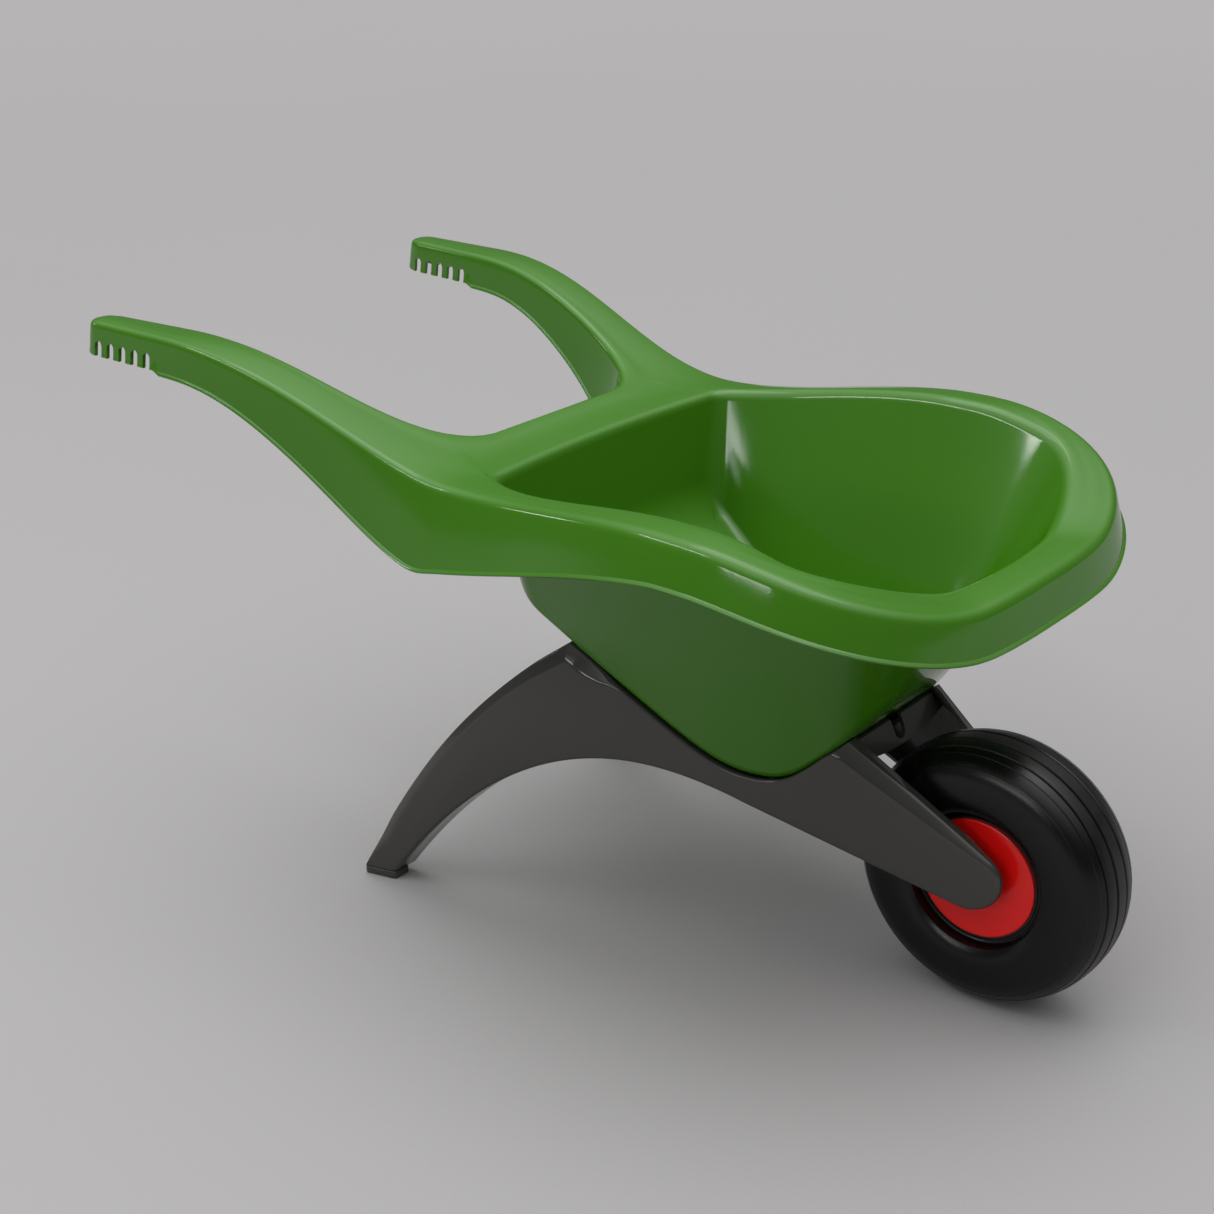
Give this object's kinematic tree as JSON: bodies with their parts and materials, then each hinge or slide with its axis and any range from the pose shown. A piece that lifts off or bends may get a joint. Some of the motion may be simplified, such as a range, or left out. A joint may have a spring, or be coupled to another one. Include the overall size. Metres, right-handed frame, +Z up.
{
  "type": "wheelbarrow",
  "caption": "Child's plastic wheelbarrow: green moulded tray with a wide rolled rim and two slotted grips, on charcoal side frames with a black tyre and red hub.",
  "frame": {"origin": "on the ground, under the middle of the bounding box", "axes": "+X points forward from the handles to the wheel, +Y to the left-hand side of the person who pushes it, +Z up"},
  "size_m": [0.777, 0.4058, 0.397],
  "materials": {
    "tray_green": "moulded green polypropylene, satin to glossy",
    "frame_charcoal": "moulded charcoal plastic, fine satin texture",
    "cap_black": "moulded black plastic",
    "tyre_black": "blow-moulded black tyre, satin",
    "rim_black": "moulded black rim",
    "hub_red": "moulded red plastic, glossy",
    "steel": "zinc-plated steel",
    "nylon": "natural nylon"
  },
  "bodies": {
    "body": {"tray": "tray_green", "left_side_frame": "frame_charcoal", "right_side_frame": "frame_charcoal", "front_bridge": "frame_charcoal", "rear_brace": "frame_charcoal", "left_foot_cap": "cap_black", "right_foot_cap": "cap_black", "axle": "steel", "left_washer": "nylon", "right_washer": "nylon", "tray_screws": "steel", "screw_washers": "steel"},
    "wheel": {"tyre": "tyre_black", "left_rim_half": "rim_black", "right_rim_half": "rim_black", "left_hub_cover": "hub_red", "right_hub_cover": "hub_red", "left_hub_bush": "nylon", "right_hub_bush": "nylon", "rim_screws": "steel"}
  },
  "joints": [
    {"name": "wheel_spin", "type": "hinge", "parent": "body", "child": "wheel", "pos_m": [0.29496, 0, 0.0935], "axis": [0, 1, 0], "continuous": true}
  ]
}
